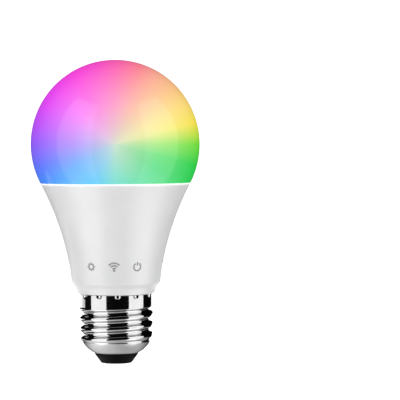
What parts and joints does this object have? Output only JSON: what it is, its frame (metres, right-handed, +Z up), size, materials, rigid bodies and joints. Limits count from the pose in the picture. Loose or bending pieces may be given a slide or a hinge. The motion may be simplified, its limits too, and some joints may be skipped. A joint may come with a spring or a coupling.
{
  "type": "smart light bulb",
  "caption": "Pear-shaped colour-changing smart lamp: diffuser globe, flared white housing, LED board, radio module and driver on an Edison screw cap.",
  "frame": {"origin": "underside of the centre contact, on the lamp's axis", "axes": "+Z up the lamp's axis from the centre contact to the globe's crown; the driver board's plane is X-Z, and the front is -Y"},
  "size_m": [0.06, 0.06, 0.108],
  "materials": {
    "globe_pc": "satin opal",
    "silicone": "satin white",
    "housing_pbt": "satin white moulding",
    "cup_aluminium": "deep drawn",
    "thermal_paste": "matt paste",
    "white_solder_mask": "white solder mask on aluminium",
    "zinc_steel": "zinc plated",
    "led_package": "moulded white epoxy",
    "cool_phosphor": "glossy phosphor-filled silicone",
    "warm_phosphor": "glossy phosphor-filled silicone",
    "clear_silicone": "clear fill",
    "black_epoxy": "moulded chip package",
    "ivory_nylon": "moulded nylon",
    "black_nylon": "moulded nylon",
    "gold_pins": "gold flash",
    "blue_mask_board": "blue solder mask on glass epoxy",
    "tin_plate": "tin plated",
    "green_mask_board": "green solder mask on glass epoxy",
    "ferrite": "ground ferrite",
    "bobbin_phenolic": "moulded phenolic",
    "yellow_tape": "polyester tape over the winding",
    "sleeved_aluminium": "shrink sleeve over an aluminium can",
    "red_epoxy": "dipped epoxy",
    "enamelled_copper": "enamelled copper wire",
    "blue_epoxy": "dipped epoxy",
    "resistor_coat": "flameproof coating",
    "chip_ceramic": "fired ceramic",
    "nickel_shell": "nickel-plated brass sheet",
    "black_insulator": "moulded black thermoset",
    "contact_nickel": "nickel-plated brass",
    "red_pvc": "PVC insulation",
    "black_pvc": "PVC insulation"
  },
  "bodies": {
    "root": {"globe_diffuser": "globe_pc", "sealant_ring": "silicone", "housing": "housing_pbt", "heat_sink_cup": "cup_aluminium", "thermal_compound": "thermal_paste", "led_board": "white_solder_mask", "board_screws": "zinc_steel", "white_led_packages": "led_package", "cool_phosphor_windows": "cool_phosphor", "warm_phosphor_windows": "warm_phosphor", "rgb_led_packages": "led_package", "rgb_led_windows": "clear_silicone", "led_driver_chip": "black_epoxy", "link_socket": "ivory_nylon", "link_header": "black_nylon", "link_pins": "gold_pins", "wifi_board": "blue_mask_board", "wifi_shield_can": "tin_plate", "wifi_antenna": "gold_pins", "wifi_spacer": "black_nylon", "wifi_pins": "gold_pins", "driver_board": "green_mask_board", "transformer_core": "ferrite", "transformer_bobbin": "bobbin_phenolic", "transformer_winding": "yellow_tape", "output_capacitor": "sleeved_aluminium", "input_capacitor": "sleeved_aluminium", "film_capacitor": "red_epoxy", "choke_core": "ferrite", "choke_winding": "enamelled_copper", "surge_varistor": "blue_epoxy", "fusible_resistor": "resistor_coat", "component_leads": "tin_plate", "bridge_rectifier": "black_epoxy", "power_controller_chip": "black_epoxy", "rectifier_diodes": "black_epoxy", "chip_resistors": "black_epoxy", "chip_capacitors": "chip_ceramic", "screw_shell": "nickel_shell", "base_insulator": "black_insulator", "centre_contact": "contact_nickel", "contact_pin": "contact_nickel", "live_wire": "red_pvc", "neutral_wire": "black_pvc"}
  },
  "joints": []
}
